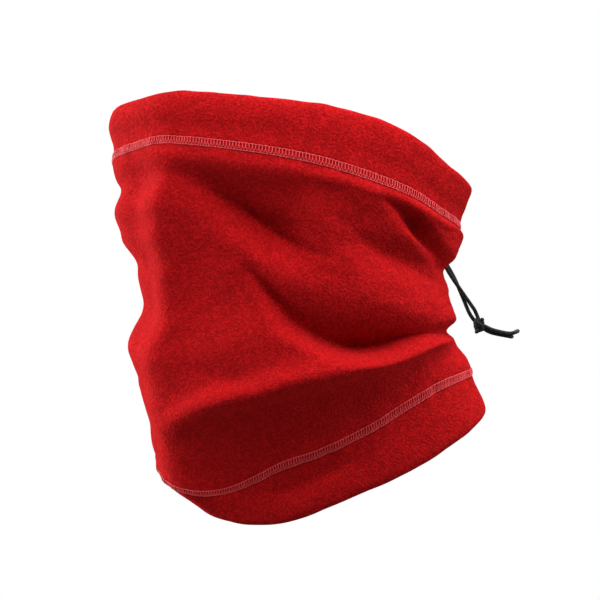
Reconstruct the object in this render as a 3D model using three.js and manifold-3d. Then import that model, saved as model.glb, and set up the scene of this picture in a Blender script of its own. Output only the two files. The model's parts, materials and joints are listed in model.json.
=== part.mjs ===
// Fleece neck gaiter: a tube of polar fleece with a drawcord in its top hem. Millimetres, +Z up.
// Row frame: the origin is on the neck's axis, level with the lowest point of the bottom hem, and the wearer faces -Y.
// The collar is built in the axes of its own oval, +X along the oval's long axis to the cord side, and then turned.
import * as THREE from "three";
import { ParametricGeometry } from "three/addons/geometries/ParametricGeometry.js";
import { mergeVertices } from "three/addons/utils/BufferGeometryUtils.js";
import Module from "manifold-3d";

const wasm = await Module();
wasm.setup();

// ---- Driving dimensions ----
const OVAL_TURN = 60; // degrees from the oval's long axis to the row's +X, about the neck
const TUBE_LENGTH = 260; // finished length of the tube from rim to rim, along the cloth
const HEM_DEPTH = 30; // turned-in cloth at each rim
const FLEECE = 3; // thickness of the fleece, measured level
const LAYER_GAP = 0.3; // clearance between pieces that touch
const CHANNEL = 4; // room inside the top hem for the drawcord
const HALF_DEPTH = 58; // half the oval's short axis
const STEPS_ROUND = 56; // facets round the oval
const BODY_ROWS = 16; // rows of facets between the two hems

const NAPE = 228; // degrees round the oval to the nape, where the tube is seamed
const EYELET_SPREAD = 5.4; // degrees from the nape to each eyelet
const CHANNEL_HEIGHT = TUBE_LENGTH - 13; // cloth height of the drawcord in its channel

const CORD_R = 1; // drawcord radius
const CORD_LEAN = 29.7; // degrees that the free strands lean off the vertical
const LOCK_CENTRE = new THREE.Vector3(77.6, 50, 158); // cord lock at rest, in the oval's axes

// ---- Finishes ----
const fleeceFinish = new THREE.MeshStandardMaterial({ color: 0xc2131c, roughness: 0.95, metalness: 0 });
const threadFinish = new THREE.MeshStandardMaterial({ color: 0xd63a42, roughness: 0.6, metalness: 0 });
const cordFinish = new THREE.MeshStandardMaterial({ color: 0x101012, roughness: 0.7, metalness: 0 });
const eyeletFinish = new THREE.MeshStandardMaterial({ color: 0x1c1c1e, roughness: 0.35, metalness: 0.9 });
const lockFinish = new THREE.MeshStandardMaterial({ color: 0x121214, roughness: 0.45, metalness: 0 });
const springFinish = new THREE.MeshStandardMaterial({ color: 0xb4b6ba, roughness: 0.3, metalness: 1 });

const radians = THREE.MathUtils.degToRad;
const smooth = THREE.MathUtils.smoothstep;

// ---- Helpers ----
// A smooth curve through [position, value] points, given in order of position.
function through(points) {
  return (at) => {
    let i = points.findIndex(([p]) => p >= at);
    if (i < 0) return points[points.length - 1][1];
    if (i === 0) return points[0][1];
    const [p0, v0] = points[i - 1];
    const [p1, v1] = points[i];
    return v0 + (v1 - v0) * smooth(at, p0, p1);
  };
}

// The same round a full turn: [degrees, value] points as a cardinal spline that closes on itself.
function around(points) {
  const n = points.length;
  const at = (i) => {
    const turn = Math.floor(i / n);
    const [angle, value] = points[i - turn * n];
    return [angle + 360 * turn, value];
  };
  return (degrees) => {
    const first = points[0][0];
    const angle = THREE.MathUtils.euclideanModulo(degrees - first, 360) + first;
    let i = 0;
    while (at(i + 1)[0] <= angle) i++;
    const [[a0, v0], [a1, v1], [a2, v2], [a3, v3]] = [at(i - 1), at(i), at(i + 1), at(i + 2)];
    const span = a2 - a1;
    const t = (angle - a1) / span;
    const m1 = ((v2 - v0) / (a2 - a0)) * span;
    const m2 = ((v3 - v1) / (a3 - a1)) * span;
    const t2 = t * t;
    const t3 = t2 * t;
    return (2 * t3 - 3 * t2 + 1) * v1 + (t3 - 2 * t2 + t) * m1 + (3 * t2 - 2 * t3) * v2 + (t3 - t2) * m2;
  };
}

// A geometry with its seams welded and its collapsed faces removed, so that it is one closed surface.
function welded(geometry) {
  const bare = new THREE.BufferGeometry();
  bare.setIndex(geometry.index);
  bare.setAttribute("position", geometry.getAttribute("position"));
  const merged = mergeVertices(bare, 1e-3);
  const kept = [];
  const index = merged.index.array;
  for (let i = 0; i < index.length; i += 3) {
    const [a, b, c] = [index[i], index[i + 1], index[i + 2]];
    if (a !== b && b !== c && c !== a) kept.push(a, b, c);
  }
  merged.setIndex(kept);
  merged.computeVertexNormals();
  return merged;
}

function solidOf(geometry) {
  const g = welded(geometry.index ? geometry : mergeVertices(geometry));
  return new wasm.Manifold(
    new wasm.Mesh({
      numProp: 3,
      vertProperties: new Float32Array(g.getAttribute("position").array),
      triVerts: new Uint32Array(g.index.array),
    }),
  );
}

function geometryOf(solid) {
  const mesh = solid.getMesh();
  const geometry = new THREE.BufferGeometry();
  geometry.setAttribute("position", new THREE.BufferAttribute(mesh.vertProperties, 3));
  geometry.setIndex(new THREE.BufferAttribute(mesh.triVerts, 1));
  geometry.computeVertexNormals();
  return geometry;
}

function named(name, geometry, material) {
  const mesh = new THREE.Mesh(geometry, material);
  mesh.name = name;
  return mesh;
}

// ---- The worn shape of the cloth ----
// Heights of the rims and of the hem stitching round the oval, by degrees: 0 and 180 are the ends of its
// long axis, 90 is the wearer's left front and the nape is at NAPE. The face side is tall and the nape is low.
const topRim = around([
  [0, 227], [30, 232], [52, 235], [77, 231], [100, 225.5], [122, 215.5], [137, 204], [152, 192],
  [180, 184], [226, 182], [272, 185], [300, 195], [325, 209], [345, 220],
]);
const topStitch = around([
  [0, 197], [36, 204], [49, 205.5], [78, 200], [100, 193], [119, 184], [137, 175], [152, 166.5],
  [180, 159], [226, 154], [272, 156], [300, 166], [325, 180], [345, 190],
]);
const bottomStitch = around([
  [0, 31], [20, 21], [40, 14.5], [53, 16], [67, 24], [77, 31], [92, 38], [112, 51], [130, 65],
  [149, 76], [180, 82], [226, 88], [272, 80], [310, 62], [338, 43],
]);
const bottomRim = around([
  [0, 17], [20, 8], [40, 3], [53, 1.5], [66, 1], [78, 3], [90, 8.5], [102, 15.5], [115, 23],
  [130, 33], [150, 46], [180, 56], [226, 60], [272, 53], [310, 38], [338, 26],
]);

// Ends of the oval's long axis, by height along the cloth. The dips are where the cloth tucks in as it is scrunched.
const faceEnd = through([
  [0, -72], [HEM_DEPTH, -82], [50, -85], [83, -92], [106, -98], [134, -89], [159, -93], [181, -103],
  [196, -106], [214, -101.5], [232, -106.5], [250, -109], [TUBE_LENGTH, -107],
]);
const cordEnd = through([
  [0, 106], [HEM_DEPTH, 97.5], [71, 88], [84, 84], [101, 88.5], [140, 84.5], [168, 82], [190, 89],
  [210, 92], [230, 90.5], [246, 95], [TUBE_LENGTH, 98.5],
]);
const halfDepth = through([[0, 54], [70, 57], [150, 53], [225, 57], [TUBE_LENGTH, HALF_DEPTH]]);

// Folds that run round the collar: heights and depths by degrees, and how far each reaches above and below.
const folds = [
  { path: [[45, 190], [60, 180], [77, 163], [92, 145], [118, 128]], depth: [0, 8, 8, 6, 0], above: 18, below: 10 },
  { path: [[116, 172], [130, 165], [137, 156], [150, 136]], depth: [0, 7, 7, 0], above: 9, below: 10 },
  { path: [[74, 134], [83, 117], [92, 102], [107, 93], [124, 94], [165, 105]], depth: [0, 4, 7, 9, 10, 0], above: 13, below: 8 },
  { path: [[42, 34], [60, 40], [77, 52], [107, 67], [124, 75], [156, 88]], depth: [0, 6, 9, 9, 7, 0], above: 8, below: 13 },
  { path: [[196, 150], [226, 140], [262, 130], [300, 140], [330, 150]], depth: [0, 6, 8, 6, 0], above: 12, below: 12 },
  { path: [[200, 108], [235, 112], [275, 105], [320, 88], [350, 76]], depth: [0, 5, 8, 7, 0], above: 12, below: 10 },
];

function foldDepth(degrees, z) {
  let sum = 0;
  for (const { path, depth, above, below } of folds) {
    const last = path.length - 1;
    if (degrees <= path[0][0] || degrees >= path[last][0]) continue;
    const height = through(path)(degrees);
    const deep = through(path.map(([angle], i) => [angle, depth[i]]))(degrees);
    const away = (z - height) / (z > height ? above : below);
    sum += deep * Math.exp(-away * away);
  }
  return sum;
}

// How far the bottom hem curls in under the face side.
const curl = around([[0, 14], [40, 10], [62, 2], [90, 0], [180, 0], [290, 0], [340, 11]]);

// A point of the worn cloth: degrees round the oval, height along the cloth, and depth in from the outer face.
function clothPoint(degrees, height, deep, target) {
  const a = radians(degrees);
  const [left, right] = [faceEnd(height), cordEnd(height)];
  const long = (right - left) / 2;
  const short = halfDepth(height);
  let z;
  if (height < HEM_DEPTH) {
    z = THREE.MathUtils.lerp(bottomRim(degrees), bottomStitch(degrees), height / HEM_DEPTH);
  } else if (height > TUBE_LENGTH - HEM_DEPTH) {
    const up = (height - (TUBE_LENGTH - HEM_DEPTH)) / HEM_DEPTH;
    z = THREE.MathUtils.lerp(topStitch(degrees), topRim(degrees), up);
  } else {
    const up = (height - HEM_DEPTH) / (TUBE_LENGTH - 2 * HEM_DEPTH);
    z = THREE.MathUtils.lerp(bottomStitch(degrees), topStitch(degrees), up);
  }
  const tuck = curl(degrees) * Math.max(0, 1 - height / HEM_DEPTH) ** 1.6;
  const inward = deep + tuck + foldDepth(THREE.MathUtils.euclideanModulo(degrees, 360), z);
  const normal = new THREE.Vector2(-Math.cos(a) / long, -Math.sin(a) / short).normalize();
  const x = (left + right) / 2 - long * Math.cos(a) - normal.x * inward;
  const y = -short * Math.sin(a) - normal.y * inward;
  return target.set(x, y, z);
}

// A band that runs right round the collar: its section is a closed list of [height, depth] points.
function bandRound(section) {
  const n = section.length;
  const surface = (u, v, target) => {
    const i = Math.min(Math.floor(v * n + 1e-6), n - 1);
    const [h0, d0] = section[i];
    const [h1, d1] = section[(i + 1) % n];
    const t = v * n - i;
    clothPoint(360 * u, h0 + (h1 - h0) * t, d0 + (d1 - d0) * t, target);
  };
  return welded(new ParametricGeometry(surface, STEPS_ROUND, n));
}

// A tube of cord through a list of points, with its steps shared out by point, so that a short bend gets its share.
function cordThrough(points, steps, sides) {
  const path = new THREE.CatmullRomCurve3(points);
  path.getUtoTmapping = (u) => u;
  const section = new THREE.Shape().absarc(0, 0, CORD_R, 0, 2 * Math.PI);
  return new THREE.ExtrudeGeometry(section, { steps, curveSegments: sides / 2, extrudePath: path });
}

// ---- Fleece tube ----
// The section of the cloth, walked round once: up the face, over the top hem and down its turned-in flap,
// down the back of the wall, and round the bottom hem. Both flaps end in a raw edge.
function clothSection() {
  const flap = FLEECE + LAYER_GAP; // outer side of a flap that lies flat on the wall
  const roomy = FLEECE + CHANNEL; // outer side of the top flap, round the drawcord
  const top = TUBE_LENGTH;
  const bodyRow = (i) => HEM_DEPTH + (i * (TUBE_LENGTH - 2 * HEM_DEPTH)) / BODY_ROWS;
  const section = [[1, 0.8], [8, 0], [16, 0], [22, 0], [26, 0]];
  for (let i = 0; i <= BODY_ROWS; i++) section.push([bodyRow(i), 0]);
  section.push([top - 26, 0], [top - 18, 0], [top - 9, 0], [top - 2, 0.7]);
  section.push([top, 3], [top, 6.5], [top - 4, 9.2], [top - 12, roomy + FLEECE], [top - 20, 8.4]);
  section.push([top - 25, flap + FLEECE], [top - 36, flap + FLEECE], [top - 36, flap], [top - 25, flap]);
  section.push([top - 18, 6], [top - 12, roomy], [top - 7, 6.2], [top - 4.5, 4.6], [top - 7, FLEECE]);
  section.push([top - 18, FLEECE]);
  for (let i = BODY_ROWS; i >= 0; i--) section.push([bodyRow(i), FLEECE]);
  section.push([16, FLEECE], [4, FLEECE], [4, flap], [16, flap], [36, flap]);
  section.push([36, flap + FLEECE], [26, flap + FLEECE], [12, flap + FLEECE], [2, 5.6], [0, 3]);
  return section;
}

// Where an eyelet sits, and the direction straight out of the cloth there.
function eyeletSeat(degrees) {
  const at = (da, dh) => clothPoint(degrees + da, CHANNEL_HEIGHT + dh, 0, new THREE.Vector3());
  const alongRound = at(1, 0).sub(at(-1, 0));
  const up = at(0, 3).sub(at(0, -3));
  return { centre: at(0, 0), out: new THREE.Vector3().crossVectors(alongRound, up).normalize() };
}
const eyeletSeats = { left: eyeletSeat(NAPE - EYELET_SPREAD), right: eyeletSeat(NAPE + EYELET_SPREAD) };
const standing = new THREE.Vector3(0, 1, 0);

function facingOut(mesh, seat) {
  mesh.position.copy(seat.centre);
  mesh.quaternion.setFromUnitVectors(standing, seat.out);
  return mesh;
}

const EYELET_HOLE = 2.2; // inner radius
const EYELET_BARREL = 2.8; // outer radius of the barrel
const EYELET_FLANGE = 4.5;

let fleece = solidOf(bandRound(clothSection()));
for (const seat of Object.values(eyeletSeats)) {
  const punch = new THREE.CylinderGeometry(EYELET_BARREL + LAYER_GAP, EYELET_BARREL + LAYER_GAP, 7, 16);
  const cut = facingOut(new THREE.Mesh(punch), seat);
  cut.updateMatrix();
  fleece = fleece.subtract(solidOf(punch.applyMatrix4(cut.matrix)));
}

const collar = new THREE.Group();
collar.add(named("fleece_tube", geometryOf(fleece), fleeceFinish));

// ---- Hem stitching ----
// Each hem is held by a coverstitch: two needle rows 4 mm apart and the looper thread that crosses between them.
function stitching(hem, lowRow) {
  const proud = (low, high, thick) => [
    [low, -LAYER_GAP], [low, -LAYER_GAP - thick], [high, -LAYER_GAP - thick], [high, -LAYER_GAP],
  ];
  collar.add(
    named(`${hem}_hem_needle_thread_lower`, bandRound(proud(lowRow - 0.4, lowRow + 0.4, 0.6)), threadFinish),
    named(`${hem}_hem_needle_thread_upper`, bandRound(proud(lowRow + 3.6, lowRow + 4.4, 0.6)), threadFinish),
    named(`${hem}_hem_looper_thread`, bandRound(proud(lowRow + 0.8, lowRow + 3.2, 0.45)), threadFinish),
  );
}
stitching("bottom", HEM_DEPTH - 4);
stitching("top", TUBE_LENGTH - HEM_DEPTH);

// The overlock thread on the inside of the back seam, between the two flaps.
function seamThread() {
  const row = (TUBE_LENGTH - 2 * HEM_DEPTH) / BODY_ROWS;
  const [low, high] = [HEM_DEPTH + row, TUBE_LENGTH - HEM_DEPTH - row]; // clear of the flaps' raw edges
  const rows = BODY_ROWS - 2;
  const side = 1.7; // degrees either way
  const [near, far] = [FLEECE + 2 * LAYER_GAP, FLEECE + 2 * LAYER_GAP + 0.7];
  const corners = [[-side, near], [side, near], [side, far], [-side, far]];
  const surface = (u, v, target) => {
    const i = Math.min(Math.floor(u * 4 + 1e-6), 3);
    const [a0, d0] = corners[i];
    const [a1, d1] = corners[(i + 1) % 4];
    const t = u * 4 - i;
    const step = v * (rows + 2);
    const up = THREE.MathUtils.clamp((step - 1) / rows, 0, 1);
    const closing = step < 0.5 || step > rows + 1.5 ? 0 : 1; // the ends close to a point
    const angle = NAPE + closing * (a0 + (a1 - a0) * t);
    const deep = THREE.MathUtils.lerp((near + far) / 2, d0 + (d1 - d0) * t, closing);
    clothPoint(angle, low + (high - low) * up, deep, target);
  };
  return welded(new ParametricGeometry(surface, 4, rows + 2));
}
collar.add(named("back_seam_thread", seamThread(), threadFinish));

// ---- Eyelets ----
// A flanged barrel from outside and a washer behind the cloth, in the hem's outer layer.
const FLANGE = 0.5;
const eyeletProfile = [
  [EYELET_HOLE, -FLEECE - 0.2], [EYELET_BARREL, -FLEECE - 0.2], [EYELET_BARREL, 0.5],
  [EYELET_FLANGE, 0.5], [EYELET_FLANGE, 0.5 + FLANGE], [EYELET_HOLE, 0.5 + FLANGE], [EYELET_HOLE, -FLEECE - 0.2],
].map(([x, y]) => new THREE.Vector2(x, y));
const washerProfile = [
  [EYELET_BARREL + LAYER_GAP, -FLEECE - 0.9], [4.2, -FLEECE - 0.9], [4.2, -FLEECE - 0.5],
  [EYELET_BARREL + LAYER_GAP, -FLEECE - 0.5], [EYELET_BARREL + LAYER_GAP, -FLEECE - 0.9],
].map(([x, y]) => new THREE.Vector2(x, y));
for (const [side, seat] of Object.entries(eyeletSeats)) {
  collar.add(facingOut(named(`eyelet_${side}`, new THREE.LatheGeometry(eyeletProfile, 16), eyeletFinish), seat));
  const washer = named(`eyelet_washer_${side}`, new THREE.LatheGeometry(washerProfile, 16), eyeletFinish);
  collar.add(facingOut(washer, seat));
}

// ---- Drawcord inside the channel ----
// It runs round the top hem from one eyelet to the other, and comes out through both.
const RUN_DEPTH = FLEECE + 2.1;
const MOUTH = 0.9; // how far outside the cloth the cord's fixed end comes
const SWING_GAP = 1; // from there to the free strand, which hinges at its end
const mouthOf = (seat, distance) => seat.centre.clone().addScaledVector(seat.out, distance);
function channelRun() {
  const points = [mouthOf(eyeletSeats.right, MOUTH), mouthOf(eyeletSeats.right, -1), mouthOf(eyeletSeats.right, -3.4)];
  const [from, to] = [NAPE + EYELET_SPREAD, NAPE - EYELET_SPREAD + 360];
  const inset = 3;
  const stops = 40;
  for (let i = 0; i <= stops; i++) {
    const degrees = from + inset + ((to - from - 2 * inset) * i) / stops;
    points.push(clothPoint(degrees, CHANNEL_HEIGHT, RUN_DEPTH, new THREE.Vector3()));
  }
  points.push(mouthOf(eyeletSeats.left, -3.4), mouthOf(eyeletSeats.left, -1), mouthOf(eyeletSeats.left, MOUTH));
  return cordThrough(points, 2 * (points.length - 1), 6);
}
collar.add(named("drawcord_channel_run", channelRun(), cordFinish));

// ---- Free drawcord ----
// Its own frame has its origin at the lock, +Z back up the strands and +X to the lock's button.
const cord = new THREE.Group();
cord.position.copy(LOCK_CENTRE);
cord.rotation.y = -radians(CORD_LEAN);
cord.updateMatrix();
const toCord = cord.matrix.clone().invert();
const inCord = (point) => point.applyMatrix4(toCord);

// The strands come out of the eyelets, close up in the lock, cross once and part again above the knot.
function strandRoute(seat, run) {
  const start = [MOUTH + SWING_GAP, MOUTH + 2.9, MOUTH + 4.7].map((d) => inCord(mouthOf(seat, d)));
  return [...start, ...run.map(([x, y, z]) => new THREE.Vector3(x, y, z))];
}
const strandRoutes = {
  left: strandRoute(eyeletSeats.left, [
    [0.9, -3.6, 10.5], [0.2, -1.6, 7.4], [0, -1.2, 4], [0, -1.2, 0], [0, -1.2, -4], [-0.2, -1.2, -10],
    [-0.9, -0.9, -17], [-1.3, -0.6, -24], [-0.9, -0.9, -30], [0.2, -1.2, -36.5], [1.2, -0.8, -43],
    [1.7, -0.4, -49], [1.7, -0.2, -53], [1.1, -0.2, -56.2],
  ]),
  right: strandRoute(eyeletSeats.right, [
    [-3.6, 1.4, 12], [-0.9, 1.4, 7.6], [0, 1.2, 4], [0, 1.2, 0], [0, 1.2, -4], [0.3, 1.2, -10],
    [0.8, 0.9, -17], [0.9, 0.7, -24], [0.6, 0.9, -30], [-0.3, 1.2, -36.5], [-1.4, 0.8, -43],
    [-2.4, 0.4, -49], [-2.6, 0.2, -53], [-1.9, 0.2, -56.2],
  ]),
};
for (const [side, route] of Object.entries(strandRoutes)) {
  cord.add(named(`drawcord_strand_${side}`, cordThrough(route, 2 * (route.length - 1), 8), cordFinish));
}

const KNOT_CENTRE = new THREE.Vector3(-0.6, 0, -60.2);
const knot = named("drawcord_knot", new THREE.SphereGeometry(3.4, 14, 10), cordFinish);
knot.position.copy(KNOT_CENTRE);
cord.add(knot);

// The tails leave the knot side by side and curve away from the collar to their cut ends.
const tailRoutes = {
  left: [[2.4, -0.4, -63.3], [3.7, -0.4, -65.2], [6.1, -0.4, -67.9], [11.4, -0.4, -72.4], [14.5, -0.4, -74.1], [17.5, -0.4, -74.9]],
  right: [[1, 0.4, -64.6], [2.4, 0.4, -67.1], [4.8, 0.4, -69.9], [10.2, 0.4, -74.5], [12.8, 0.4, -76.4]],
};
for (const [side, route] of Object.entries(tailRoutes)) {
  const points = route.map(([x, y, z]) => new THREE.Vector3(x, y, z));
  cord.add(named(`drawcord_tail_${side}`, cordThrough(points, 2 * (points.length - 1), 8), cordFinish));
}

// ---- Cord lock ----
// A moulded barrel across the strands. Its button slides in a bore against a spring, and a hole through both
// pieces grips the strands when the spring pushes the button out.
const LOCK_R = 5.8;
const LOCK_BORE = 4.1;
const BUTTON_R = 3.8;
const LOCK_BACK = -12; // closed end of the barrel
const LOCK_MOUTH = 6; // end that the button comes out of
const BORE_FLOOR = LOCK_BACK + 1.8;
const BUTTON_FOOT = -4;
const BUTTON_TOP = LOCK_MOUTH + 4.4;
const CORD_HOLE = 2.7; // radius of the hole that both strands share
const PRESS = 3; // travel of the button

// A turned piece along +X, from an [x, radius] outline.
function turned(outline, segments) {
  const lathe = new THREE.LatheGeometry(outline.map(([x, r]) => new THREE.Vector2(r, x)), segments);
  return lathe.rotateZ(-Math.PI / 2);
}

// A slot through a piece along Z, round at both ends, from x to x.
function slotCut(fromX, toX, radius) {
  const shape = new THREE.Shape();
  shape.absarc(toX, 0, radius, -Math.PI / 2, Math.PI / 2);
  shape.absarc(fromX, 0, radius, Math.PI / 2, (3 * Math.PI) / 2);
  const cut = new THREE.ExtrudeGeometry(shape, { depth: 20, curveSegments: 8, bevelEnabled: false });
  return cut.translate(0, 0, -10);
}

const barrel = solidOf(
  turned(
    [[LOCK_BACK, 0], [LOCK_BACK, LOCK_R - 1.6], [LOCK_BACK + 0.5, LOCK_R - 0.5], [LOCK_BACK + 1.6, LOCK_R],
     [LOCK_MOUTH - 0.8, LOCK_R], [LOCK_MOUTH, LOCK_R - 0.8], [LOCK_MOUTH, LOCK_BORE], [BORE_FLOOR, LOCK_BORE],
     [BORE_FLOOR, 0]],
    20,
  ),
);
const lockBody = barrel.subtract(solidOf(slotCut(0, 0.01, CORD_HOLE)));
cord.add(named("cord_lock_body", geometryOf(lockBody), lockFinish));

const button = solidOf(
  turned(
    [[BUTTON_FOOT, 0], [BUTTON_FOOT, BUTTON_R], [BUTTON_TOP - 1, BUTTON_R], [BUTTON_TOP - 0.3, BUTTON_R - 0.6],
     [BUTTON_TOP, BUTTON_R - 1.6], [BUTTON_TOP, 0]],
    20,
  ),
);
const plunger = button.subtract(solidOf(slotCut(0, PRESS, CORD_HOLE)));
cord.add(named("cord_lock_plunger", geometryOf(plunger), lockFinish));

const SPRING_WIRE = 0.35;
function lockSpring() {
  const turns = 3;
  const [from, to] = [BORE_FLOOR + SPRING_WIRE + 0.3, BUTTON_FOOT - SPRING_WIRE - 0.3];
  const points = [];
  for (let i = 0; i <= turns * 10; i++) {
    const a = (i / 10) * 2 * Math.PI;
    points.push(new THREE.Vector3(THREE.MathUtils.lerp(from, to, i / (turns * 10)), 3 * Math.cos(a), 3 * Math.sin(a)));
  }
  const section = new THREE.Shape().absarc(0, 0, SPRING_WIRE, 0, 2 * Math.PI);
  const path = new THREE.CatmullRomCurve3(points);
  return new THREE.ExtrudeGeometry(section, { steps: turns * 12, curveSegments: 3, extrudePath: path });
}
cord.add(named("cord_lock_spring", lockSpring(), springFinish));

collar.add(cord);
collar.rotation.z = radians(OVAL_TURN);
const gaiter = new THREE.Group();
gaiter.add(collar);

export default gaiter;
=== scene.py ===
"""A red fleece neck gaiter, worn and scrunched, with hems held by coverstitch and a drawcord in the top hem.

The part's own frame is used throughout, in metres: +Z up the neck, and the wearer faces -Y.
"""
import json
import math

import bpy
import numpy as np
from mathutils import Matrix, Vector
from mathutils.geometry import intersect_line_line


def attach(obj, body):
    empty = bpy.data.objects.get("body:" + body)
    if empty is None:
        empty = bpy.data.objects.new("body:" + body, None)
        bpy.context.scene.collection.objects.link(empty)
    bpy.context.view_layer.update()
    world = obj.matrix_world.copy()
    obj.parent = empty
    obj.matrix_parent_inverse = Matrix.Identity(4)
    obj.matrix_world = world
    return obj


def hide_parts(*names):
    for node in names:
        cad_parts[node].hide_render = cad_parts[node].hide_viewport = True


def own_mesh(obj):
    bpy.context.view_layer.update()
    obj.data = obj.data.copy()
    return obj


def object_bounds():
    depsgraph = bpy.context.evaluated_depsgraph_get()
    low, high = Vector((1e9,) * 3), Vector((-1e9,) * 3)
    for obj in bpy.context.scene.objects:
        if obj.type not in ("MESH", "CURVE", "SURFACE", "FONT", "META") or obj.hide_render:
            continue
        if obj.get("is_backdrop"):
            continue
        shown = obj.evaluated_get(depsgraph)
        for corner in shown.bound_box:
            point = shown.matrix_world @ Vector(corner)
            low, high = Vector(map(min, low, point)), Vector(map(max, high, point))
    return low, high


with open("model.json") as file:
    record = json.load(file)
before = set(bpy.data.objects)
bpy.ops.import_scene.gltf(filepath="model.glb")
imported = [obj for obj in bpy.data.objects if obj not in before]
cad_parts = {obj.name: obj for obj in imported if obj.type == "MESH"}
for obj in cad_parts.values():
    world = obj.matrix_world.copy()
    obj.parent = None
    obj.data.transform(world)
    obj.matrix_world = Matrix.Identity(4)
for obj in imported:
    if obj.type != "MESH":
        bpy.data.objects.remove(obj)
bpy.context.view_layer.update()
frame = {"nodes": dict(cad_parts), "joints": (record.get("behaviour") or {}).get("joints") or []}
scene = bpy.context.scene
MM = 0.001

# ---- Camera ----
# A long lens level with the middle of the gaiter. It faces the broad side of the collar's oval, which is
# turned about the neck: the tall face side is at its left and the nape behind its right edge.
OVAL_TURN = math.radians(60)
CAMERA_DISTANCE = 1.0
CAMERA_HEIGHT = 0.120

camera_data = bpy.data.cameras.new("camera")
camera_data.lens = 105.3
camera_data.sensor_width = 36
camera = bpy.data.objects.new("camera", camera_data)
towards_camera = Vector((math.sin(OVAL_TURN), -math.cos(OVAL_TURN), 0))
camera.location = towards_camera * CAMERA_DISTANCE + Vector((0, 0, CAMERA_HEIGHT))
camera.rotation_euler = (math.pi / 2, 0, OVAL_TURN)
scene.collection.objects.link(camera)
scene.camera = camera
scene.view_settings.view_transform = "Standard"

# ---- Free drawcord ----
# Elastic cord 2.3 mm thick: a round rubber core in a black braided polyester sleeve. Both strands come out
# of the eyelets at the nape, pass side by side through the cord lock, cross once and end in one knot with
# two short tails.
CORD_DIAMETER = 2.3 * MM
CORD_LEAN = math.radians(29.7)  # how far the strands lean off the vertical
LOCK_CENTRE = Vector((77.6, 50, 158)) * MM  # in the oval's own axes

oval_to_row = Matrix.Rotation(OVAL_TURN, 4, "Z")
lock_frame = oval_to_row @ Matrix.Translation(LOCK_CENTRE) @ Matrix.Rotation(-CORD_LEAN, 4, "Y")
swing = next(j for j in frame["joints"] if j["name"] == "cord_swing")

# The routes run through the lock to the knot, and on to the cut ends. They are in the lock's own
# millimetres, whose +Z runs back up the strands and whose +X runs to the lock's button.
STRAND_ROUTES = {
    "left": [
        (0.9, -3.6, 10.5), (0.2, -1.6, 7.4), (0, -1.2, 4), (0, -1.2, 0), (0, -1.2, -4), (-0.2, -1.2, -10),
        (-0.6, -1.1, -17), (-0.8, -1.0, -24), (-0.5, -1.1, -30), (0.1, -1.25, -36.5), (0.7, -1.1, -43),
        (1.2, -0.6, -48), (1.5, -0.3, -52), (1.0, -0.3, -56.2),
    ],
    "right": [
        (-3.6, 1.4, 12), (-0.9, 1.4, 7.6), (0, 1.2, 4), (0, 1.2, 0), (0, 1.2, -4), (0.3, 1.2, -10),
        (0.6, 1.1, -17), (0.7, 1.0, -24), (0.5, 1.1, -30), (-0.2, 1.25, -36.5), (-1.0, 1.0, -43),
        (-1.7, 0.6, -48), (-2.1, 0.3, -52), (-1.8, 0.3, -56.2),
    ],
}
KNOT_PASSES = {
    "left": [(0.6, -0.9, -58.5), (0.8, -0.9, -61)],
    "right": [(-1.2, 0.9, -58.5), (-0.6, 0.9, -62)],
}
TAIL_ROUTES = {
    "left": [
        (2.4, -0.6, -63.5), (3.7, -0.8, -65.5), (6.1, -0.8, -68.3), (11.2, -0.7, -72.9),
        (14.3, -0.5, -74.7), (17.5, -0.4, -75.2),
    ],
    "right": [
        (1, 0.6, -64.4), (2.4, 0.8, -66.8), (4.9, 0.8, -69.6), (10.2, 0.7, -74.2), (12.9, 0.5, -76.3),
    ],
}


def in_lock_frame(points):
    return [lock_frame @ (Vector(p) * MM) for p in points]


def middle_of(node):
    """The middle of a turned CAD piece, which lies on its own axis."""
    co = np.array([v.co for v in frame["nodes"][node].data.vertices])
    return Vector(co.mean(axis=0))


def eyelet_axis(side):
    """Where a strand leaves its eyelet, on the line that both strands swing about, and its direction."""
    eyelet = middle_of(f"eyelet_{side}")
    out = (eyelet - middle_of(f"eyelet_washer_{side}")).normalized()
    hinge = Vector(swing["pos_m"])
    mouth, _ = intersect_line_line(eyelet, eyelet + out, hinge, hinge + Vector(swing["axis"]))
    return mouth, out


def smooth_line(points, steps):
    """A Catmull-Rom line through points, with the same number of steps in each span."""
    p = np.array([tuple(q) for q in points], float)
    p = np.vstack([2 * p[0] - p[1], p, 2 * p[-1] - p[-2]])
    t = (np.arange(steps) / steps)[:, None]
    spans = [
        0.5 * (2 * b + (c - a) * t + (2 * a - 5 * b + 4 * c - d) * t**2 + (3 * (b - c) + d - a) * t**3)
        for a, b, c, d in zip(p, p[1:], p[2:], p[3:])
    ]
    return np.vstack([*spans, p[-2]])


def surface_of(name, points, quads, uvs=None):
    """A smooth-shaded mesh from arrays of points and four-cornered faces, with one UV for each corner."""
    mesh = bpy.data.meshes.new(name)
    mesh.vertices.add(len(points))
    mesh.vertices.foreach_set("co", np.asarray(points, np.float32).ravel())
    mesh.loops.add(len(quads) * 4)
    mesh.loops.foreach_set("vertex_index", np.asarray(quads, np.int32).ravel())
    mesh.polygons.add(len(quads))
    mesh.polygons.foreach_set("loop_start", np.arange(len(quads), dtype=np.int32) * 4)
    mesh.polygons.foreach_set("use_smooth", np.ones(len(quads), bool))
    if uvs is not None:
        mesh.uv_layers.new(name="along").data.foreach_set("uv", np.asarray(uvs, np.float32).ravel())
    mesh.update(calc_edges=True)
    mesh.validate()
    piece = bpy.data.objects.new(name, mesh)
    scene.collection.objects.link(piece)
    return piece


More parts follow.
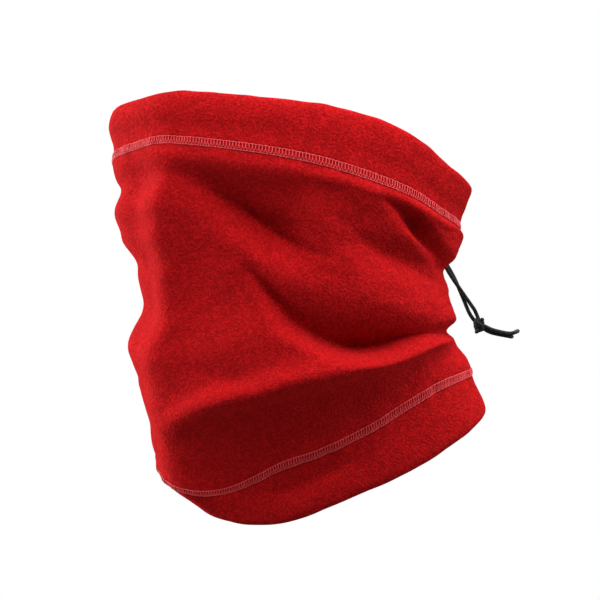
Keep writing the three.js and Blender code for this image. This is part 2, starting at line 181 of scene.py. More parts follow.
def tube_arrays(line, radius, sides, closed=False):
    """Points, faces and UVs of a round tube along a line, U once round it and V its length in metres. An
    open tube runs on past the line's ends by its radius, to round them off."""
    line = np.asarray(line, float)
    swell = np.ones(len(line))
    if not closed:
        lean = np.radians([80, 55, 28])
        first = (line[1] - line[0]) / np.linalg.norm(line[1] - line[0])
        last = (line[-1] - line[-2]) / np.linalg.norm(line[-1] - line[-2])
        head = line[0] - radius * np.outer(np.sin(lean), first)
        tail = line[-1] + radius * np.outer(np.sin(lean[::-1]), last)
        line = np.vstack([head, line, tail])
        swell = np.concatenate([np.cos(lean), swell, np.cos(lean[::-1])])
    n = len(line)
    ahead = np.roll(line, -1, axis=0) - np.roll(line, 1, axis=0)
    if not closed:
        ahead[0], ahead[-1] = first, last
    ahead /= np.linalg.norm(ahead, axis=1, keepdims=True)
    start = (0.0, 0.0, 1.0) if abs(ahead[0, 2]) < 0.9 else (1.0, 0.0, 0.0)
    side = np.cross(ahead[0], start)
    across = np.empty((n, 3))
    for i in range(n):  # carried along the line without twisting
        side = side - ahead[i] * (side @ ahead[i])
        side /= np.linalg.norm(side)
        across[i] = side
    other = np.cross(ahead, across)
    turn = np.arange(sides) / sides * 2 * np.pi
    ring = np.cos(turn)[None, :, None] * across[:, None] + np.sin(turn)[None, :, None] * other[:, None]
    points = (line[:, None] + ring * (radius * swell)[:, None, None]).reshape(-1, 3)
    run = np.concatenate([[0], np.cumsum(np.linalg.norm(np.diff(line, axis=0), axis=1))])
    i, j = np.meshgrid(np.arange(n if closed else n - 1), np.arange(sides), indexing="ij")
    i, j = i.ravel(), j.ravel()
    i1, j1 = (i + 1) % n, (j + 1) % sides
    quads = np.column_stack([i * sides + j, i * sides + j1, i1 * sides + j1, i1 * sides + j])
    v0, v1 = run[i], run[np.minimum(i + 1, n - 1)]
    corners = [(j, v0), (j + 1, v0), (j + 1, v1), (j, v1)]
    uvs = np.stack([np.column_stack([u / sides, v]) for u, v in corners], axis=1).reshape(-1, 2)
    if not closed:
        near, far = n * sides, n * sides + 1
        points = np.vstack([points, line[0], line[-1]])
        j = np.arange(0, sides, 2)
        k, m = (j + 1) % sides, (j + 2) % sides
        end = (n - 1) * sides
        near_cap = np.column_stack([np.full(len(j), near), m, k, j])
        far_cap = np.column_stack([np.full(len(j), far), end + j, end + k, end + m])
        quads = np.vstack([quads, near_cap, far_cap])
        uvs = np.vstack([uvs, np.zeros((8 * len(j), 2))])
    return points, quads, uvs


def tube(name, line, radius, sides=12, closed=False):
    return surface_of(name, *tube_arrays(line, radius, sides, closed))


def joined_tubes(name, lines, radius, sides):
    """Several tubes as one piece."""
    points, quads, uvs, count = [], [], [], 0
    for line in lines:
        p, q, uv = tube_arrays(line, radius, sides)
        points.append(p)
        quads.append(q + count)
        uvs.append(uv)
        count += len(p)
    return surface_of(name, np.vstack(points), np.vstack(quads), np.vstack(uvs))


class Nodes:
    """A material's or a node group's tree, with short ways to add nodes to it."""

    def __init__(self, tree):
        self.tree = tree

    def add(self, kind, inputs=(), **settings):
        node = self.tree.nodes.new(kind)
        for key, value in settings.items():
            setattr(node, key, value)
        for key, value in dict(inputs).items():
            self.feed(node.inputs[key], value)
        return node

    def feed(self, socket, value):
        if isinstance(value, bpy.types.NodeSocket):
            self.tree.links.new(value, socket)
        else:
            socket.default_value = value

    def math(self, operation, *values):
        return self.add("ShaderNodeMath", dict(enumerate(values)), operation=operation).outputs[0]

    def mix(self, factor, a, b, blend="MIX"):
        node = self.add("ShaderNodeMix", data_type="RGBA", blend_type=blend)
        self.feed(node.inputs["Factor"], factor)
        self.feed(node.inputs[6], a)
        self.feed(node.inputs[7], b)
        return node.outputs[2]

    def ramp(self, value, low, high, to_low=0.0, to_high=1.0):
        inputs = {"Value": value, "From Min": low, "From Max": high, "To Min": to_low, "To Max": to_high}
        return self.add("ShaderNodeMapRange", inputs, interpolation_type="SMOOTHSTEP").outputs[0]


def finish_group(name, inputs, outputs):
    """A new shader node group with number inputs, and its tree ready to fill."""
    group = bpy.data.node_groups.new(name, "ShaderNodeTree")
    for key, value in inputs.items():
        group.interface.new_socket(key, in_out="INPUT", socket_type="NodeSocketFloat").default_value = value
    for key in outputs:
        group.interface.new_socket(key, in_out="OUTPUT", socket_type="NodeSocketFloat")
    nodes = Nodes(group)
    return group, nodes, nodes.add("NodeGroupInput"), nodes.add("NodeGroupOutput")


def material(name, **constants):
    """A material with its Principled shader's constant values set on its own sockets."""
    made = bpy.data.materials.new(name)
    made.use_nodes = True
    nodes = Nodes(made.node_tree)
    shader = made.node_tree.nodes["Principled BSDF"]
    for key, value in constants.items():
        shader.inputs[key.replace("_", " ")].default_value = value
    return made, nodes, shader


def bumped(nodes, shader, height, distance, strength=1.0):
    bump = nodes.add("ShaderNodeBump", {"Height": height, "Distance": distance, "Strength": strength})
    nodes.feed(shader.inputs["Normal"], bump.outputs["Normal"])


# The braid of a cord: yarns that wind both ways round it and pass over and under each other.
braid, g, given, out = finish_group("braid", {"Yarns": 8.0, "Pitch": 0.003}, ["Height", "Gap"])
place = g.add("ShaderNodeSeparateXYZ", {0: g.add("ShaderNodeUVMap", uv_map="along").outputs[0]}).outputs
around_cord = g.math("MULTIPLY", place[0], given.outputs["Yarns"])
along_cord = g.math("DIVIDE", place[1], given.outputs["Pitch"])
ways = [g.math(sign, around_cord, along_cord) for sign in ("ADD", "SUBTRACT")]
yarns = [g.math("ABSOLUTE", g.math("SINE", g.math("MULTIPLY", way, math.pi))) for way in ways]
swap = g.math("SINE", g.math("MULTIPLY", g.math("ADD", ways[0], 0.5), math.pi))
other_swap = g.math("SINE", g.math("MULTIPLY", ways[1], math.pi))
turn_over = g.ramp(g.math("MULTIPLY", swap, other_swap), -0.3, 0.3)
height = g.math("ADD", g.math("MULTIPLY", yarns[0], turn_over),
                g.math("MULTIPLY", yarns[1], g.math("SUBTRACT", 1.0, turn_over)))
g.feed(out.inputs["Height"], height)
g.feed(out.inputs["Gap"], g.ramp(height, 0.45, 0.0))


def cord_material(name, dark, light):
    made, nodes, shader = material(
        name, Roughness=0.6, Sheen_Weight=0.04, Sheen_Roughness=0.4, Specular_IOR_Level=0.2
    )
    weave = nodes.add("ShaderNodeGroup", node_tree=braid)
    speckle = nodes.add("ShaderNodeTexNoise", {"Scale": 2600.0, "Detail": 2.0}).outputs[0]
    # The cord's colour is painted shade in the gaps between yarns, darker where the braid is low, mixed with a
    # random speckle of the yarn.
    braid_gap_shade_and_speckle = nodes.math("MULTIPLY", weave.outputs["Height"], speckle)
    nodes.feed(shader.inputs["Base Color"], nodes.mix(nodes.ramp(braid_gap_shade_and_speckle, 0.05, 0.55), dark, light))
    bumped(nodes, shader, weave.outputs["Height"], 0.00012, 0.9)
    return made


cord_black = cord_material("cord_black", (0.002, 0.002, 0.0025, 1), (0.016, 0.016, 0.018, 1))
sealed_black, nodes, shader = material("sealed_black", Roughness=0.28, Specular_IOR_Level=0.5)
melt = nodes.add("ShaderNodeTexNoise", {"Scale": 900.0, "Detail": 3.0}).outputs[0]
nodes.feed(shader.inputs["Base Color"], nodes.mix(melt, (0.006, 0.006, 0.007, 1), (0.022, 0.021, 0.020, 1)))
bumped(nodes, shader, melt, 0.0002, 0.6)

for side, route in STRAND_ROUTES.items():
    mouth, out_of_cloth = eyelet_axis(side)
    start = [mouth + out_of_cloth * d * MM for d in (0, 1.9, 3.7)]
    line = smooth_line(start + in_lock_frame(route + KNOT_PASSES[side] + TAIL_ROUTES[side]), 6)
    strand = tube(f"drawcord_{side}", line, CORD_DIAMETER / 2, 16)
    strand.data.materials.append(cord_black)
    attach(strand, "drawcord")
    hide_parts(f"drawcord_strand_{side}", f"drawcord_tail_{side}")

    # The cut end is sealed with heat, which leaves a short hard tip a little wider than the braid.
    tip = tube(f"cord_tip_{side}", line[-4:] + (line[-1] - line[-2]) * 0.2, CORD_DIAMETER / 2 * 1.1, 16)
    tip.data.materials.append(sealed_black)
    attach(tip, "drawcord")

# ---- Knot ----
# Both strands are tied together in one overhand knot and pulled tight: two turns of doubled cord round the
# strands, with one pass of both crossing over the turns.
KNOT_CENTRE = (-0.4, 0, -60.2)
KNOT_TURN = 2.35  # radius of the turns' centre line


def knot_line(offset):
    """One cord's way through the knot. The knot's own axis leans with the tails."""
    lean = Matrix.Rotation(math.radians(24), 4, "Y")
    points = []
    for angle in range(-30, 500, 24):
        turn = math.radians(angle)
        down = 2.4 - angle / 360 * 3.6 - offset
        points.append((KNOT_TURN * math.cos(turn), KNOT_TURN * math.sin(turn) * 0.92, down))
    # back up across the front of the turns, and in under the first of them
    points += [(1.2, -3.2, -1.2), (-0.6, -3.4, 0.6 - offset * 0.4), (-1.9, -2.4, 2.4), (-1.2, -0.6, 2.9)]
    return smooth_line([Vector(KNOT_CENTRE) + lean @ Vector(p) for p in points], 4)


knot = joined_tubes(
    "drawcord_knot_tied",
    [[lock_frame @ (Vector(p) * MM) for p in knot_line(offset)] for offset in (0, 1.75)],
    CORD_DIAMETER / 2 * 0.95, 14,
)
knot.data.materials.append(cord_black)
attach(knot, "drawcord")
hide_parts("drawcord_knot")

# ---- Cord lock ----
# A two-piece spring lock moulded in black acetal: a barrel across the cord, and a button that slides in it.
# The spring pushes the button out, so that the hole through both pieces pinches the strands.
LOCK_RADIUS = 5.8
GRIP_RADIUS = LOCK_RADIUS - 0.35  # in the two grip grooves
LOCK_BORE = 4.1
LOCK_BACK = -12
LOCK_MOUTH = 6
BORE_FLOOR = -10.2
BUTTON_RADIUS = 3.8
BUTTON_FOOT = -4
BUTTON_TOP = 10.4
CORD_HOLE = 2.7
PRESS = 3


def rounded(outline, radius=0.5, steps=4):
    """An outline of [x, radius] corners with each inner corner rounded off."""
    p = [np.array(q, float) for q in outline]
    out = [p[0]]
    for a, b, c in zip(p, p[1:], p[2:]):
        reach = min(radius, np.linalg.norm(a - b) / 2.2, np.linalg.norm(c - b) / 2.2)
        start = b + (a - b) / np.linalg.norm(a - b) * reach
        end = b + (c - b) / np.linalg.norm(c - b) * reach
        for t in np.linspace(0, 1, steps + 1):
            out.append((1 - t) ** 2 * start + 2 * t * (1 - t) * b + t * t * end)
    return np.array([*out, p[-1]])


def turned(name, outline, place, segments=64):
    """A piece turned about its own +X from [x, radius] points in millimetres, closed at the axis at both
    ends, or into a ring when the first and last points are the same."""
    ring = np.allclose(outline[0], outline[-1])
    rows = outline[:-1] if ring else outline[1:-1]
    turn = np.arange(segments) / segments * 2 * np.pi
    points = [(x, r * math.cos(a), r * math.sin(a)) for x, r in rows for a in turn]
    n = len(rows)
    quads = []
    for i in range(n if ring else n - 1):
        for j in range(segments):
            k, i1 = (j + 1) % segments, (i + 1) % n
            quads.append((i * segments + j, i * segments + k, i1 * segments + k, i1 * segments + j))
    if not ring:
        ends = [(outline[0], 0), (outline[-1], (n - 1) * segments)]
        for m, ((x, _), first) in enumerate(ends):
            points.append((x, 0, 0))
            for j in range(0, segments, 2):
                fan = [first + j, first + (j + 1) % segments, first + (j + 2) % segments]
                quads.append((n * segments + m, *(fan[::-1] if m == 0 else fan)))
    return surface_of(name, [place @ (Vector(p) * MM) for p in points], quads)


def cut_slot(piece, from_x, to_x):
    """Cuts the cord hole along the lock's Z, round at both ends."""
    corners = []
    for x, first in ((to_x, -90), (from_x, 90)):
        for a in np.radians(first + np.arange(0, 181, 10)):
            corners.append((x + CORD_HOLE * math.cos(a), CORD_HOLE * math.sin(a)))
    n = len(corners)
    points = [lock_frame @ (Vector((x, y, z)) * MM) for z in (-10, 10) for x, y in corners]
    mesh = bpy.data.meshes.new("slot_cutter")
    faces = [(i, (i + 1) % n, n + (i + 1) % n, n + i) for i in range(n)]
    mesh.from_pydata(points, [], [*faces, tuple(range(n))[::-1], tuple(range(n, 2 * n))])
    cutter = bpy.data.objects.new("slot_cutter", mesh)
    scene.collection.objects.link(cutter)
    cut = piece.modifiers.new("slot", "BOOLEAN")
    cut.operation, cut.object, cut.solver = "DIFFERENCE", cutter, "EXACT"
    bevel = piece.modifiers.new("hole_edge", "BEVEL")
    bevel.width, bevel.segments = 0.25 * MM, 2
    bevel.limit_method, bevel.angle_limit = "ANGLE", math.radians(50)
    apply_modifiers(piece)
    bpy.data.objects.remove(cutter)
    smooth_by_angle(piece)


def apply_modifiers(piece):
    evaluated = piece.evaluated_get(bpy.context.evaluated_depsgraph_get())
    mesh = bpy.data.meshes.new_from_object(evaluated)
    piece.modifiers.clear()
    piece.data = mesh


def smooth_by_angle(piece, degrees=35):
    piece.data.polygons.foreach_set("use_smooth", np.ones(len(piece.data.polygons), bool))
    piece.data.set_sharp_from_angle(angle=math.radians(degrees))


# Moulded plastic and blackened metal both show fine grain, and both are rubbed bright along their edges.
grain, g, given, out = finish_group("grain_and_rub", {"Grain": 1800.0, "Rub": 0.5}, ["Height", "Rubbed"])
fine = g.add("ShaderNodeTexNoise", {"Scale": given.outputs["Grain"], "Detail": 4.0}).outputs[0]
patches = g.add("ShaderNodeTexNoise", {"Scale": 350.0, "Detail": 3.0}).outputs[0]
edges = g.ramp(g.add("ShaderNodeNewGeometry").outputs["Pointiness"], 0.52, 0.62)
g.feed(out.inputs["Height"], fine)
worn = g.math("MULTIPLY", edges, g.ramp(patches, 0.35, 0.7))
g.feed(out.inputs["Rubbed"], g.math("MULTIPLY", worn, given.outputs["Rub"]))


def hard_material(name, base, rubbed, grain_depth, roughness, **constants):
    made, nodes, shader = material(name, **constants)
    look = nodes.add("ShaderNodeGroup", node_tree=grain)
    nodes.feed(shader.inputs["Base Color"], nodes.mix(look.outputs["Rubbed"], base, rubbed))
    dulled = nodes.ramp(look.outputs["Height"], 0.3, 0.7, roughness, roughness + 0.12)
    nodes.feed(shader.inputs["Roughness"], dulled)
    bumped(nodes, shader, look.outputs["Height"], grain_depth, 0.5)
    return made


lock_black = hard_material(
    "lock_black", (0.006, 0.006, 0.0065, 1), (0.03, 0.03, 0.032, 1), 0.00006, 0.42, Specular_IOR_Level=0.35
)
barrel = turned(
    "cord_lock_barrel",
    rounded([
        (LOCK_BACK, 0), (LOCK_BACK, LOCK_RADIUS - 1.4), (LOCK_BACK + 1.5, LOCK_RADIUS),
        (-8.4, LOCK_RADIUS), (-8.0, GRIP_RADIUS), (-7.4, GRIP_RADIUS), (-7.0, LOCK_RADIUS),
        (-6.4, LOCK_RADIUS), (-6.0, GRIP_RADIUS), (-5.4, GRIP_RADIUS), (-5.0, LOCK_RADIUS),
        (LOCK_MOUTH - 1.0, LOCK_RADIUS), (LOCK_MOUTH, LOCK_RADIUS - 0.7), (LOCK_MOUTH, LOCK_BORE),
        (BORE_FLOOR, LOCK_BORE), (BORE_FLOOR, 0),
    ], 0.3),
    lock_frame,
)
cut_slot(barrel, 0, 0.01)
button = turned(
    "cord_lock_button",
    rounded([
        (BUTTON_FOOT, 0), (BUTTON_FOOT, BUTTON_RADIUS), (BUTTON_TOP - 0.6, BUTTON_RADIUS),
        (BUTTON_TOP - 0.1, BUTTON_RADIUS - 0.9), (BUTTON_TOP, BUTTON_RADIUS - 2), (BUTTON_TOP - 0.35, 0),
    ], 0.45),
    lock_frame,
)
cut_slot(button, 0, PRESS)
moulded = ((barrel, "cord_lock_body", "cord_lock"), (button, "cord_lock_plunger", "lock_button"))
for piece, node, body in moulded:
    piece.data.materials.append(lock_black)
    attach(piece, body)
    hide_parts(node)

# The spring is wound from stainless wire, with a closed flat coil at each end.
WIRE = 0.35
COIL_RADIUS = 3
COIL_TURNS = 4
coil = []
for a in np.linspace(0, COIL_TURNS * 2 * math.pi, COIL_TURNS * 24 + 1):
    share = min(max((a / (2 * math.pi) - 0.5) / (COIL_TURNS - 1), 0), 1)
    x = BORE_FLOOR + WIRE + 0.1 + share * (BUTTON_FOOT - BORE_FLOOR - 2 * WIRE - 0.2)
    coil.append(lock_frame @ (Vector((x, COIL_RADIUS * math.cos(a), COIL_RADIUS * math.sin(a))) * MM))
spring = tube("cord_lock_coil", np.array(coil), WIRE * MM, 10)
steel, nodes, shader = material("spring_steel", Metallic=1.0)
drawn = nodes.add("ShaderNodeTexNoise", {"Scale": 1500.0, "Detail": 2.0}).outputs[0]
nodes.feed(shader.inputs["Base Color"], nodes.mix(drawn, (0.42, 0.42, 0.43, 1), (0.62, 0.62, 0.63, 1)))
nodes.feed(shader.inputs["Roughness"], nodes.ramp(drawn, 0.3, 0.7, 0.25, 0.4))
spring.data.materials.append(steel)
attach(spring, "cord_lock")
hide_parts("cord_lock_spring")
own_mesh(spring)

# ---- Fleece tube ----
# One panel of 3 mm polar fleece, seamed at the nape into a tube. Both rims are turned in 30 mm and
# coverstitched, and it is worn scrunched, so the wall lies in soft folds. Millimetres, in the oval's axes.
TUBE_LENGTH = 260
ROUND = 480  # the tube's mean girth, which runs from 435 at the bottom rim to 527 in the top hem
HEM_DEPTH = 30
FLEECE = 3
LAYER_GAP = 0.3
CHANNEL = 4  # room inside the top hem for the drawcord
NAPE = 228  # degrees round the oval to the back seam
CHANNEL_HEIGHT = TUBE_LENGTH - 13
STITCH_ROWS = (HEM_DEPTH - 4, HEM_DEPTH, TUBE_LENGTH - HEM_DEPTH, TUBE_LENGTH - HEM_DEPTH + 4)


def through(points):
    """A smooth curve through (position, value) points that levels out at each of them."""
    p = np.array(points, float)

    def curve(at):
        i = np.clip(np.searchsorted(p[:, 0], at) - 1, 0, len(p) - 2)
        t = np.clip((at - p[i, 0]) / (p[i + 1, 0] - p[i, 0]), 0, 1)
        return p[i, 1] + (p[i + 1, 1] - p[i, 1]) * t * t * (3 - 2 * t)

    return curve


def around(points):
    """The same round a full turn: (degrees, value) points as a cardinal spline that closes on itself."""
    p = np.array(points, float)
    p = np.vstack([p[-2:] - (360, 0), p, p[:3] + (360, 0)])

    def curve(degrees):
        at = np.mod(degrees - points[0][0], 360) + points[0][0]
        i = np.clip(np.searchsorted(p[:, 0], at, side="right") - 1, 1, len(p) - 3)
        a0, a1, a2, a3 = (p[i + k, 0] for k in (-1, 0, 1, 2))
        v0, v1, v2, v3 = (p[i + k, 1] for k in (-1, 0, 1, 2))
        span = a2 - a1
        t = (at - a1) / span
        m1, m2 = (v2 - v0) / (a2 - a0) * span, (v3 - v1) / (a3 - a1) * span
        return ((2 * t**3 - 3 * t**2 + 1) * v1 + (t**3 - 2 * t**2 + t) * m1
                + (3 * t**2 - 2 * t**3) * v2 + (t**3 - t**2) * m2)

    return curve


# Heights of the rims and of the hem stitching round the oval: 0 and 180 degrees are the ends of its long
# axis.
top_rim = around([
    (0, 227), (30, 232), (52, 235.5), (77, 232), (100, 227), (122, 217.5), (137, 206.5), (152, 194),
    (180, 184), (226, 182), (272, 185), (300, 195), (325, 209), (345, 220),
])
top_stitch = around([
    (0, 197), (36, 204), (49, 205.5), (78, 200), (100, 193), (119, 184), (137, 175), (152, 166.5),
    (180, 159), (226, 154), (272, 156), (300, 166), (325, 180), (345, 190),
])
bottom_stitch = around([
    (0, 31), (20, 21), (40, 14.5), (53, 16), (67, 24), (77, 31), (92, 38), (112, 51), (130, 65),
    (149, 76), (180, 82), (226, 88), (272, 80), (310, 62), (338, 43),
])
bottom_rim = around([
    (0, 16), (20, 5), (40, -2.5), (53, -4.5), (66, -4), (78, -0.5), (90, 6), (102, 13), (115, 20),
    (130, 29), (150, 42), (180, 56), (226, 60), (272, 53), (310, 38), (338, 26),
])
# The ends of the oval's long axis, by height along the cloth, and half its short axis.
face_end = through([
    (0, -72), (HEM_DEPTH, -82), (50, -85), (83, -92), (106, -98), (134, -89), (159, -93), (181, -103),
    (196, -106), (214, -101.5), (232, -106.5), (250, -109), (TUBE_LENGTH, -107),
])
cord_end = through([
    (0, 106), (HEM_DEPTH, 97.5), (71, 88), (84, 84), (101, 88.5), (140, 84.5), (168, 82), (190, 89),
    (210, 92), (230, 90.5), (246, 95), (TUBE_LENGTH, 98.5),
])
half_depth = through([(0, 54), (70, 57), (150, 53), (225, 57), (TUBE_LENGTH, 58)])
curl = around([(0, 17), (20, 14), (40, 6), (56, 0), (90, 0), (180, 0), (290, 0), (340, 11)])

# Valleys between folds: how sharply each bends above and below, then its points. Each point is degrees
# round the oval, height, depth, and how far the cloth slopes down into it from above and comes out again
# below.
VALLEYS = [
    # from under the top hem at the face down across the near side
    (1.15, 2.1, [
        (40, 193, 0, 6, 14), (47, 190, 1.5, 9, 20), (54, 187, 3.5, 12, 24), (62.5, 180.5, 8, 17, 26),
        (72, 171, 14, 21, 28), (79, 163, 17, 26, 30), (86, 156, 17, 30, 30), (92, 151, 13, 33, 28),
        (97, 147.5, 6.5, 32, 26), (103, 143.5, 2.5, 28, 22), (115, 138, 0, 18, 14)]),
    # the short pocket near the cord side
    (1.7, 1.6, [
        (119, 176, 0, 5, 8), (127, 172, 6, 6, 9), (134.5, 165, 12.5, 6.5, 10), (141, 158, 13.5, 6.5, 10),
        (149, 150.5, 10, 7, 9), (159, 143.5, 5, 7, 6), (170, 137, 0, 7, 6)]),
    # a shallow dip between the two
    (1.3, 1.4, [
        (100, 172, 0, 10, 14), (110, 161, 3, 16, 20), (120, 151, 5, 20, 22), (134, 142, 5, 20, 18),
        (158, 130, 3, 12, 12), (172, 126, 0, 9, 8)]),
    # the main valley, deepest near the cord side
    (2.3, 1.8, [
        (70, 141, 0, 12, 10), (75.5, 133, 4, 15, 12), (79, 124, 8, 19, 13), (86, 111.5, 11.5, 25, 13),
        (96.5, 101.5, 15, 31, 12), (106, 95.5, 20, 34, 11), (117, 93, 27, 34, 10), (127, 93.8, 26, 29, 9),
        (138, 98, 16, 20, 8), (150, 101.3, 8, 14, 7), (166, 102.8, 4, 10, 6), (184, 100, 0, 8, 6)]),
    # a faint dimple low on the face
    (1.5, 1.5, [(48, 84, 0, 12, 12), (60, 79, 1.6, 13, 12), (76, 75, 1.6, 12, 12), (90, 74, 0, 10, 10)]),
    # a soft dent in the bottom hem
    (1.0, 2.0, [(58, 11, 0, 11, 8), (72.5, 13, 2.5, 13, 8), (83, 18, 4, 15, 9), (97.5, 27, 3.5, 14, 9),
                (112, 36, 0, 12, 9)]),
    # round the far side, where the cloth is pushed together most
    (1.5, 1.7, [
        (172, 143, 0, 10, 8), (196, 137, 8, 14, 10), (218, 129, 13, 17, 11), (243, 124, 13, 17, 11),
        (268, 126, 12, 17, 11), (292, 134, 11, 16, 11), (318, 147, 6, 14, 10), (338, 156, 0, 10, 8)]),
    (1.4, 1.7, [(238, 150, 0, 9, 7), (258, 146, 7, 12, 9), (282, 151, 11, 15, 10), (308, 164, 9, 13, 9),
                (332, 178, 0, 9, 8)]),
    (1.4, 1.7, [(262, 103, 0, 9, 7), (284, 97, 9, 15, 10), (304, 87, 13, 18, 11), (326, 76, 11, 17, 11),
                (350, 67, 5, 13, 9), (370, 61, 0, 9, 7)]),
]
# Shelves, where a roll of cloth stands out and the cloth below it is drawn in, down to the rim. Each point:
# degrees, height of the roll's lower edge, how far the roll stands out, how far the cloth is drawn in and
# over what height.
SHELVES = [
    [(26, 39, 0, 0, 20), (34, 42, 1.5, 1, 24), (41, 46, 3.5, 5, 28), (48, 50.5, 5, 10, 32),
     (58, 56, 6, 15.5, 36), (72.5, 62, 6.5, 18, 34), (90, 69.5, 6.5, 18, 30), (107.5, 76, 6.5, 17, 26),
     (117, 80, 6.2, 15, 22), (127, 84, 5.4, 12.5, 18), (138.5, 88, 3.6, 9, 14), (153, 92.5, 2.4, 5, 11),
     (174, 94, 0, 0, 10)],
    [(180, 118, 0, 0, 12), (202, 115, 3, 8, 18), (224, 113, 4.5, 12, 20), (246, 109, 4, 11, 20),
     (270, 102, 2.5, 6, 16), (296, 96, 0, 0, 12)],
]
# Upright ridges, where the cloth turns a soft corner. Each point: height, degrees, how far it stands out,
# and half its width in degrees.
RIDGES = [
    [(10, 28, 0, 9), (36, 30, 2.5, 9), (64, 34, 4, 10), (92, 38, 5.2, 10), (120, 38, 5.4, 9),
     (148, 43, 6, 8.5), (175, 46, 6.2, 8.5), (192, 47, 5, 8.5), (206, 47, 1.5, 8)],
    [(140, 26, 0, 9), (158, 27, -2.4, 9), (190, 28, -2.6, 9), (206, 28, -0.8, 9)],
    [(70, 60, 0, 9), (100, 60, -1.2, 12), (150, 66, -1.2, 12), (185, 64, 0, 10)],
    [(80, 300, 0, 12), (110, 300, 1.8, 12), (160, 298, 1.8, 12), (185, 296, 0, 12)],
    [(100, 206, 0, 10), (125, 206, 1.6, 10), (160, 206, 1.6, 10), (180, 206, 0, 10)],
]

COLUMNS = 312
ROW_STEP = 0.5


def path_values(path, degrees):
    """A fold's values at each column, on a smooth line through its points, and whether it gets there."""
    line = smooth_line(path, 8)
    start = path[0][0]
    at = np.mod(degrees - start, 360) + start
    there = at <= path[-1][0]
    return [np.interp(at, line[:, 0], line[:, k]) for k in range(1, len(path[0]))], there


def sculpted(degrees, z):
    """How far out the folds move the cloth, in millimetres."""
    out_by = np.zeros_like(z)
    for sharp_above, sharp_below, path in VALLEYS:
        (height, depth, above, below), there = path_values(path, degrees)
        u = z - height
        slope = np.where(
            u > 0, np.clip(1 - u / above, 0, 1) ** sharp_above, np.clip(1 + u / below, 0, 1) ** sharp_below
        )
        out_by -= np.where(there, np.maximum(depth, 0) * slope, 0)
    for path in SHELVES:
        (height, roll, tuck, span), there = path_values(path, degrees)
        u = z - height
        drawn = 1 - (1 - np.clip((3 - u) / (span + 3), 0, 1)) ** 1.6
        out_by += np.where(there, np.maximum(roll, 0) * np.exp(-(((u - 7) / 7) ** 2)), 0)
        out_by -= np.where(there, np.maximum(tuck, 0) * drawn, 0)
    for path in RIDGES:
        line = smooth_line(path, 8)
        at, stands, wide = (np.interp(z, line[:, 0], line[:, k]) for k in (1, 2, 3))
        off = (np.mod(degrees - at + 180, 360) - 180) / wide
        out_by += stands * np.exp(-(off**2))
    return out_by


def waves(degrees, height, seed, count, shortest, longest, size):
    """A smooth uneven pattern round the tube, from waves between two lengths in millimetres."""
    random = np.random.default_rng(seed)
    total = np.zeros(np.broadcast(degrees, height).shape)
    for _ in range(count):
        length = math.exp(random.uniform(math.log(shortest), math.log(longest)))
        heading = random.uniform(0, math.pi)
        cycles = round(ROUND / length * math.cos(heading))
        phase = random.uniform(0, 2 * math.pi)
        climb = height * 2 * math.pi / length * math.sin(heading)
        total += np.sin(np.radians(degrees) * cycles + climb + phase) * length / longest
    return total * size / math.sqrt(count)


def blurred(grid, row_passes, column_passes):
    """A grid of rows by columns of points, smoothed along both, round the tube without a break."""
    for _ in range(row_passes):
        inner = (grid[:-2] + 2 * grid[1:-1] + grid[2:]) / 4
        grid = np.concatenate([grid[:1], inner, grid[-1:]])
    for _ in range(column_passes):
        grid = (np.roll(grid, 1, axis=1) + 2 * grid + np.roll(grid, -1, axis=1)) / 4
    return grid


def near(height, row, width):
    return np.exp(-(((height - row) / width) ** 2))


column_degrees = np.arange(COLUMNS) * 360 / COLUMNS
row_heights = np.arange(0, TUBE_LENGTH + ROW_STEP / 2, ROW_STEP)
turn, cloth = np.meshgrid(column_degrees, row_heights)
left, right, short = face_end(cloth), cord_end(cloth), half_depth(cloth)
long = (right - left) / 2
angle = np.radians(turn)
wall = (cloth - HEM_DEPTH) / (TUBE_LENGTH - 2 * HEM_DEPTH)
level = np.where(
    cloth < HEM_DEPTH,
    bottom_rim(turn) + (bottom_stitch(turn) - bottom_rim(turn)) * cloth / HEM_DEPTH,
    np.where(
        wall > 1,
        top_stitch(turn)
        + (top_rim(turn) - top_stitch(turn)) * (cloth - TUBE_LENGTH + HEM_DEPTH) / HEM_DEPTH,
        bottom_stitch(turn) + (top_stitch(turn) - bottom_stitch(turn)) * np.clip(wall, 0, 1),
    ),
)
outward = np.stack([-np.cos(angle) / long, -np.sin(angle) / short, np.zeros_like(angle)], axis=-1)
outward /= np.linalg.norm(outward, axis=-1, keepdims=True)
stands_out = sculpted(turn, level)
stands_out -= curl(turn) * np.clip(1 - cloth / HEM_DEPTH, 0, 1) ** 1.6
in_wall = np.clip(np.minimum(cloth - 20, TUBE_LENGTH - 20 - cloth) / 25, 0.25, 1)
stands_out += in_wall * waves(turn, cloth, 5, 60, 24, 95, 1.1)
stands_out += waves(turn, cloth, 8, 60, 7, 20, 0.22)
centre = (left + right) / 2
face_of_cloth = np.stack([centre - long * np.cos(angle), -short * np.sin(angle), level], axis=-1)
face_of_cloth = blurred(face_of_cloth + outward * stands_out[..., None], 14, 2)


def normals_of(grid):
    """Outward unit normals of a grid of points that closes round the tube."""
    rise = np.gradient(grid, axis=0)
    along = np.roll(grid, -1, axis=1) - np.roll(grid, 1, axis=1)
    normal = np.cross(along, rise)
    return normal / np.linalg.norm(normal, axis=-1, keepdims=True)


